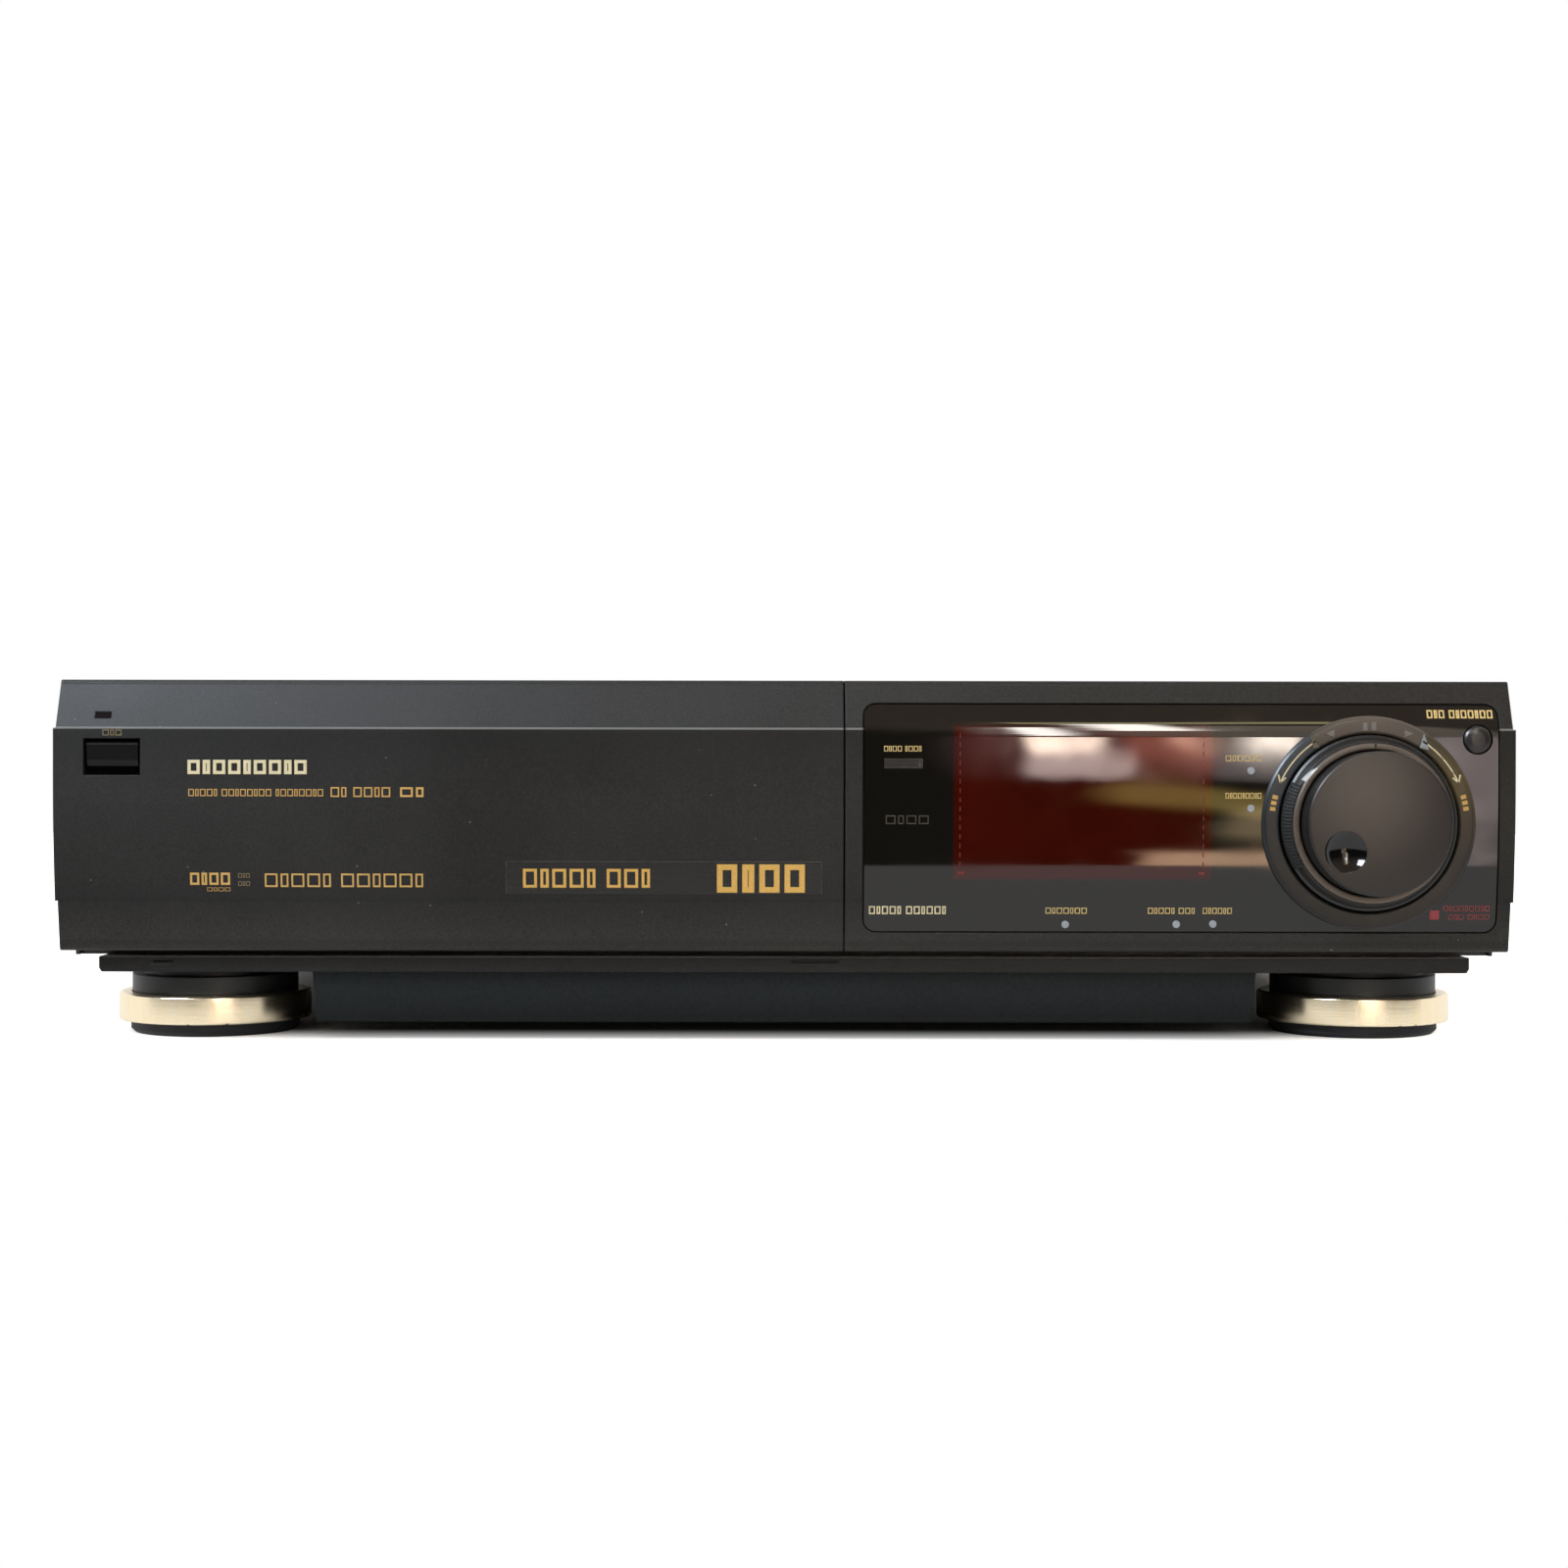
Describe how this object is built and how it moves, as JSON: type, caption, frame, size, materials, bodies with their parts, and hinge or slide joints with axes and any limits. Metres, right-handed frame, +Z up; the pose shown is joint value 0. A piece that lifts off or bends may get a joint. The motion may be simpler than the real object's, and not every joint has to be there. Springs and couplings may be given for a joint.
{
  "type": "vhs video cassette recorder",
  "caption": "Front-loading video cassette recorder with two drop-down front doors, jog and shuttle dial, cassette loader, tape deck and metal-ringed feet.",
  "frame": {"origin": "centre of the bounding box at the surface the feet stand on", "axes": "+X to the right along the front, -Y out of the front face, +Z up"},
  "size_m": [0.43, 0.41, 0.107],
  "materials": {
    "steel": "zinc plated sheet",
    "cover_paint": "fine textured dark grey paint",
    "front_paint": "moulded, dark grey, fine metallic texture",
    "black_plastic": "moulded black",
    "gloss_black": "polished black",
    "smoked_acrylic": "polished smoked acrylic",
    "red_filter": "dark red transparent acrylic",
    "lamp_lens": "clear diffusing lens",
    "dial_metal": "spun metal cap, satin dark grey",
    "foot_gold": "champagne anodised, turned",
    "foot_rubber": "black rubber",
    "board": "printed circuit board",
    "display_glass": "fluorescent display tube",
    "key_grey": "moulded key",
    "record_red": "moulded key",
    "cast_alloy": "machined",
    "nylon": "moulded natural nylon",
    "drive_rubber": "ground rubber",
    "brass": "gold plated"
  },
  "bodies": {
    "case": {"chassis_pan": "steel", "top_cover": "cover_paint", "rear_panel": "cover_paint", "screws": "steel", "front_frame": "black_plastic", "front_plinth": "front_paint", "bottom_cover": "black_plastic", "hinge_pins": "steel", "control_panel": "black_plastic", "front_board": "board", "display_module": "display_glass", "left_board": "board", "loader_frames": "steel", "deck_plate": "steel", "lower_drum": "cast_alloy", "capstan_motor": "brass", "fixed_heads": "steel", "loading_motor": "steel", "main_board": "board", "power_supply": "board", "scart_sockets": "black_plastic", "phono_sockets": "brass", "aerial_sockets": "steel", "mains_inlet": "black_plastic", "foot_bodies": "black_plastic", "foot_rings": "foot_gold", "foot_pads": "foot_rubber"},
    "power_button": {"power_button": "gloss_black"},
    "push_open_button": {"push_open_button": "key_grey"},
    "jog_mode_button": {"jog_mode_button": "gloss_black"},
    "shuttle_ring": {"shuttle_ring": "gloss_black"},
    "jog_dial": {"jog_dial": "dial_metal"},
    "play_key": {"play_key": "key_grey"},
    "stop_key": {"stop_key": "key_grey"},
    "rewind_key": {"rewind_key": "key_grey"},
    "forward_key": {"forward_key": "key_grey"},
    "pause_key": {"pause_key": "key_grey"},
    "record_key": {"record_key": "record_red"},
    "tracking_knob": {"tracking_knob": "key_grey"},
    "cassette_flap": {"cassette_flap": "black_plastic"},
    "cassette_carriage": {"cassette_carriage": "steel"},
    "cassette_holder": {"cassette_holder": "steel"},
    "upper_drum": {"upper_drum": "cast_alloy"},
    "supply_reel": {"supply_reel": "black_plastic"},
    "takeup_reel": {"takeup_reel": "black_plastic"},
    "capstan": {"capstan": "steel"},
    "pinch_arm": {"pinch_arm": "steel"},
    "pinch_roller": {"pinch_roller": "drive_rubber"},
    "supply_guide": {"supply_guide": "steel"},
    "takeup_guide": {"takeup_guide": "steel"},
    "worm": {"worm": "nylon"},
    "cam_gear": {"cam_gear": "nylon"},
    "left_door": {"left_door": "front_paint", "power_lamp": "red_filter"},
    "right_door": {"right_door": "front_paint", "smoked_panel": "smoked_acrylic", "display_window": "red_filter", "indicator_lamps": "lamp_lens", "dial_collar": "front_paint", "dial_encoder": "board"}
  },
  "joints": [
    {"name": "left_door_hinge", "type": "hinge", "parent": "case", "child": "left_door", "pos_m": [0, -0.18085, 0.032], "axis": [1, 0, 0], "range_deg": [0, 90]},
    {"name": "right_door_hinge", "type": "hinge", "parent": "case", "child": "right_door", "pos_m": [0, -0.18085, 0.032], "axis": [1, 0, 0], "range_deg": [0, 90]},
    {"name": "power_press", "type": "slide", "parent": "case", "child": "power_button", "axis": [0, 1, 0], "range_m": [0, 0.0018], "stiffness_N_per_m": 250},
    {"name": "push_open_press", "type": "slide", "parent": "right_door", "child": "push_open_button", "axis": [0, 1, 0], "range_m": [0, 0.0012], "stiffness_N_per_m": 250},
    {"name": "jog_mode_press", "type": "slide", "parent": "right_door", "child": "jog_mode_button", "axis": [0, 1, 0], "range_m": [0, 0.001], "stiffness_N_per_m": 250},
    {"name": "shuttle_turn", "type": "hinge", "parent": "right_door", "child": "shuttle_ring", "pos_m": [0.1717, -0.19005, 0.0651], "axis": [0, 1, 0], "range_deg": [-75, 75], "stiffness_Nm_per_rad": 0.02},
    {"name": "jog_turn", "type": "hinge", "parent": "right_door", "child": "jog_dial", "pos_m": [0.1717, -0.20005, 0.0651], "axis": [0, 1, 0], "continuous": true},
    {"name": "rewind_press", "type": "slide", "parent": "case", "child": "rewind_key", "axis": [0, 1, 0], "range_m": [0, 0.0008], "stiffness_N_per_m": 250},
    {"name": "play_press", "type": "slide", "parent": "case", "child": "play_key", "axis": [0, 1, 0], "range_m": [0, 0.0008], "stiffness_N_per_m": 250},
    {"name": "forward_press", "type": "slide", "parent": "case", "child": "forward_key", "axis": [0, 1, 0], "range_m": [0, 0.0008], "stiffness_N_per_m": 250},
    {"name": "stop_press", "type": "slide", "parent": "case", "child": "stop_key", "axis": [0, 1, 0], "range_m": [0, 0.0008], "stiffness_N_per_m": 250},
    {"name": "pause_press", "type": "slide", "parent": "case", "child": "pause_key", "axis": [0, 1, 0], "range_m": [0, 0.0008], "stiffness_N_per_m": 250},
    {"name": "record_press", "type": "slide", "parent": "case", "child": "record_key", "axis": [0, 1, 0], "range_m": [0, 0.0008], "stiffness_N_per_m": 250},
    {"name": "tracking_turn", "type": "hinge", "parent": "case", "child": "tracking_knob", "pos_m": [-0.11, -0.17805, 0.0442], "axis": [0, 1, 0], "range_deg": [-150, 150]},
    {"name": "flap_hinge", "type": "hinge", "parent": "case", "child": "cassette_flap", "pos_m": [0, -0.16975, 0.0972], "axis": [1, 0, 0], "range_deg": [0, 88], "stiffness_Nm_per_rad": 0.006, "springref_deg": -8.59},
    {"name": "carriage_travel", "type": "slide", "parent": "case", "child": "cassette_carriage", "axis": [0, 1, 0], "range_m": [0, 0.06]},
    {"name": "holder_drop", "type": "slide", "parent": "cassette_carriage", "child": "cassette_holder", "axis": [0, 0, -1], "range_m": [0, 0.02]},
    {"name": "drum_spin", "type": "hinge", "parent": "case", "child": "upper_drum", "pos_m": [-0.086, 0.05595, 0.04], "axis": [0, 0.0958, 0.9954], "continuous": true},
    {"name": "supply_spin", "type": "hinge", "parent": "case", "child": "supply_reel", "pos_m": [-0.132, -0.04005, 0.0452], "axis": [0, 0, 1], "continuous": true},
    {"name": "takeup_spin", "type": "hinge", "parent": "case", "child": "takeup_reel", "pos_m": [-0.04, -0.04005, 0.0452], "axis": [0, 0, 1], "continuous": true},
    {"name": "capstan_spin", "type": "hinge", "parent": "case", "child": "capstan", "pos_m": [-0.022, 0.06795, 0.0322], "axis": [0, 0, 1], "continuous": true},
    {"name": "pinch_swing", "type": "hinge", "parent": "case", "child": "pinch_arm", "pos_m": [0.002, 0.05595, 0.0422], "axis": [0, 0, 1], "range_deg": [-26, 0], "stiffness_Nm_per_rad": 0.02},
    {"name": "roller_spin", "type": "hinge", "parent": "pinch_arm", "child": "pinch_roller", "pos_m": [-0.02077, 0.04837, 0.0502], "axis": [0, 0, 1], "continuous": true},
    {"name": "cam_turn", "type": "hinge", "parent": "case", "child": "cam_gear", "pos_m": [-0.158, 0.07795, 0.0502], "axis": [0, 0, 1], "range_deg": [0, 180]},
    {"name": "supply_guide_travel", "type": "slide", "parent": "case", "child": "supply_guide", "axis": [0, 1, 0], "range_m": [0, 0.056]},
    {"name": "takeup_guide_travel", "type": "slide", "parent": "case", "child": "takeup_guide", "axis": [0, 1, 0], "range_m": [0, 0.056]},
    {"name": "worm_turn", "type": "hinge", "parent": "case", "child": "worm", "pos_m": [-0.158, 0.09945, 0.0524], "axis": [1, 0, 0], "range_deg": [0, 6840]}
  ],
  "couplings": [
    {"joint": "supply_guide_travel", "follows": "cam_turn", "m_per_rad": 0.0178},
    {"joint": "takeup_guide_travel", "follows": "cam_turn", "m_per_rad": 0.0178},
    {"joint": "worm_turn", "follows": "cam_turn", "ratio": 38}
  ]
}
